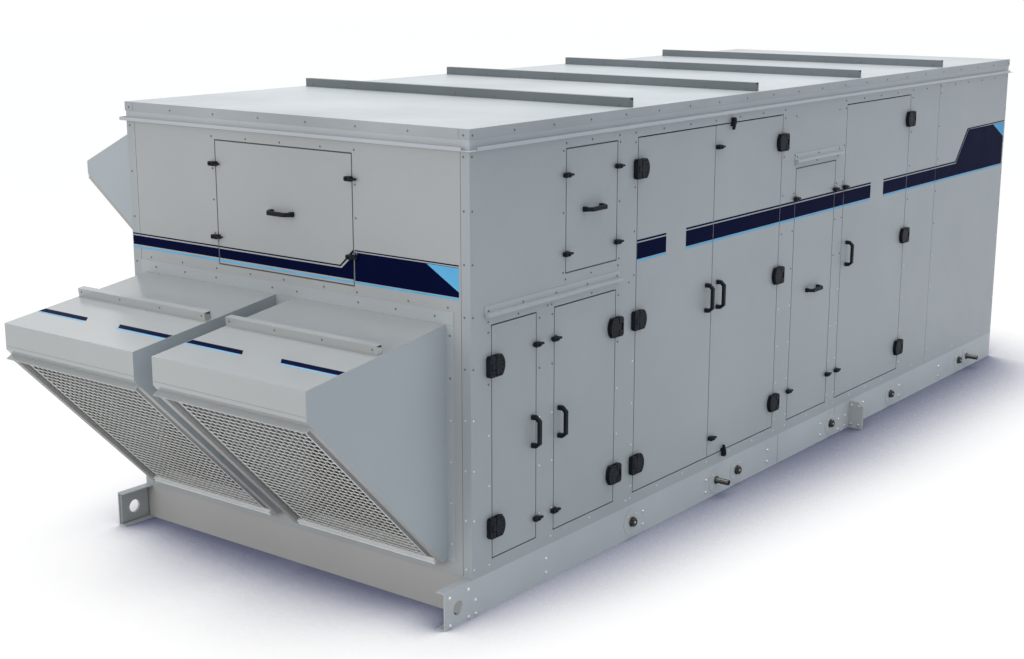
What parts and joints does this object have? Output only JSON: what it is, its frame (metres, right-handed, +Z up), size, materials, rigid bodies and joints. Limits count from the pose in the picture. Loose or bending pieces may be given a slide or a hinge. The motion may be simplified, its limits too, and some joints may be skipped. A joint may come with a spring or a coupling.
{
  "type": "dedicated outdoor air unit",
  "caption": "Long insulated-panel air-handling cabinet on a channel base, with screened intake hoods at one end, hinged side doors, lift-off panels and a ribbed flat roof.",
  "frame": {"origin": "on the floor under the base, at the centre of the cabinet's footprint, on the middle cross member's lower flange", "axes": "+X along the unit away from the intake hoods, -Y out of the door side, +Z up"},
  "size_m": [7.69, 3.044, 2.45],
  "materials": {
    "cabinet_paint": "satin fine-grained grey powder coat with painted stripes",
    "roof_paint": "satin grey powder coat",
    "base_paint": "satin grey paint on rolled channel",
    "black_hardware": "fine-grained black moulding",
    "screen_metal": "grey coated square wire mesh in a folded frame",
    "pipe_fitting": "blackened steel",
    "door_seal": "black foam seal on a folded stop"
  },
  "bodies": {
    "cabinet": {"base_end_rails": "base_paint", "base_rail_door_side": "base_paint", "base_rail_far_side": "base_paint", "corner_posts": "cabinet_paint", "cross_members": "base_paint", "door_drip_caps": "cabinet_paint", "door_side_panels": "cabinet_paint", "door_side_posts": "cabinet_paint", "door_side_rails": "cabinet_paint", "door_stops": "door_seal", "end_access_panel": "cabinet_paint", "far_wall_panels": "cabinet_paint", "far_wall_piers": "cabinet_paint", "fitting_plates": "cabinet_paint", "floor_panel": "cabinet_paint", "hinge_frame_halves": "black_hardware", "hood_flashings": "cabinet_paint", "intake_hood_1_cheeks": "cabinet_paint", "intake_hood_1_cover": "cabinet_paint", "intake_hood_1_screen": "screen_metal", "intake_hood_2_cheeks": "cabinet_paint", "intake_hood_2_cover": "cabinet_paint", "intake_hood_2_screen": "screen_metal", "intake_hood_ribs": "cabinet_paint", "intake_wall_piers": "cabinet_paint", "intake_wall_rails": "cabinet_paint", "lifting_doublers": "base_paint", "panel_handles": "black_hardware", "panel_latches": "black_hardware", "panel_ledges": "door_seal", "pipe_stubs": "pipe_fitting", "pipe_unions": "pipe_fitting", "rear_wall_panels": "cabinet_paint", "relief_hood_cheeks": "cabinet_paint", "relief_hood_cover": "cabinet_paint", "relief_hood_screen": "screen_metal", "roof_cap": "roof_paint", "roof_deck": "roof_paint", "roof_ribs": "roof_paint", "side_lugs": "base_paint", "tall_access_panel": "cabinet_paint", "upper_access_panel": "cabinet_paint"},
    "door_1_body": {"door_1": "cabinet_paint", "door_1_hinges": "black_hardware", "door_1_fittings": "black_hardware"},
    "door_2_body": {"door_2": "cabinet_paint", "door_2_hinges": "black_hardware", "door_2_fittings": "black_hardware"},
    "door_3_body": {"door_3": "cabinet_paint", "door_3_hinges": "black_hardware", "door_3_fittings": "black_hardware"},
    "door_4_body": {"door_4": "cabinet_paint", "door_4_hinges": "black_hardware", "door_4_fittings": "black_hardware"},
    "door_5_body": {"door_5": "cabinet_paint", "door_5_hinges": "black_hardware", "door_5_fittings": "black_hardware"}
  },
  "joints": [
    {"name": "door_1_hinge", "type": "hinge", "parent": "cabinet", "child": "door_1_body", "pos_m": [-3.2155, -1.235, 1], "axis": [0, 0, -1], "range_deg": [0, 95]},
    {"name": "door_2_hinge", "type": "hinge", "parent": "cabinet", "child": "door_2_body", "pos_m": [-2.1175, -1.235, 1], "axis": [0, 0, 1], "range_deg": [0, 95]},
    {"name": "door_3_hinge", "type": "hinge", "parent": "cabinet", "child": "door_3_body", "pos_m": [-1.9585, -1.235, 1], "axis": [0, 0, -1], "range_deg": [0, 95]},
    {"name": "door_4_hinge", "type": "hinge", "parent": "cabinet", "child": "door_4_body", "pos_m": [-0.3205, -1.235, 1], "axis": [0, 0, 1], "range_deg": [0, 95]},
    {"name": "door_5_hinge", "type": "hinge", "parent": "cabinet", "child": "door_5_body", "pos_m": [1.5455, -1.235, 1], "axis": [0, 0, 1], "range_deg": [0, 95]}
  ]
}
